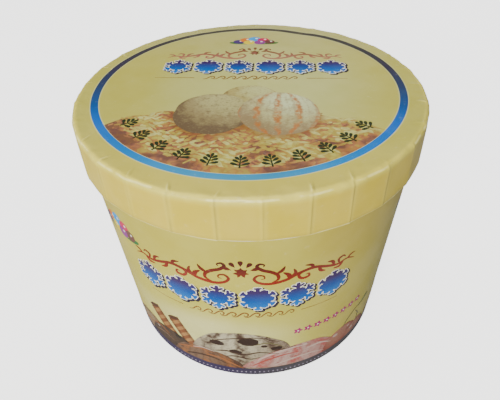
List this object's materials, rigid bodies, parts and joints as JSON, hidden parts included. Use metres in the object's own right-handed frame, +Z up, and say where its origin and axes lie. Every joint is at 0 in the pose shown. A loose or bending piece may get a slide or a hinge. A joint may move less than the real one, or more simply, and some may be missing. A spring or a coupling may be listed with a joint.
{
  "type": "ice cream tub",
  "caption": "Round tapered paperboard ice cream tub with a press-on lid whose paper skirt is pleated, shut and full; stands on its foot.",
  "frame": {"origin": "centre of the foot, on the surface that the tub stands on", "axes": "+Z up along the tub's axis; the middle of the printed front faces -Y and +X is to its right; the wall's lapped seam is at +Y"},
  "size_m": [0.2304, 0.23, 0.1837],
  "materials": {
    "wall_board": "satin",
    "lid_board": "satin"
  },
  "bodies": {
    "root": {"tub": "wall_board", "lid": "lid_board"}
  },
  "joints": []
}
